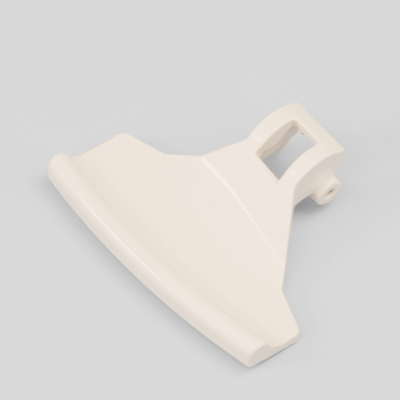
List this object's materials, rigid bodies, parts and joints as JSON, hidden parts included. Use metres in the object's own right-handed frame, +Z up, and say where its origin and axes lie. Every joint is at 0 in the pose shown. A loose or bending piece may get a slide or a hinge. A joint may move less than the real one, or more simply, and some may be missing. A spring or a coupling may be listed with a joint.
{
  "type": "washing machine door handle",
  "caption": "Moulded plastic door handle with a curved grip, a rounded front lip, a ramped neck and a humped pivot arm with bosses and a window.",
  "frame": {"origin": "middle of the pivot bore, halfway between the two bosses' outer faces", "axes": "+X along the pivot bore, towards the shorter wing; +Y to the rear, so the grip lies towards -Y; +Z up, out of the visible face, as the handle rests on its underside"},
  "size_m": [0.0979, 0.0746, 0.0278],
  "materials": {
    "plastic": "cream white moulded plastic, semi-gloss"
  },
  "bodies": {
    "root": {"handle": "plastic"}
  },
  "joints": []
}
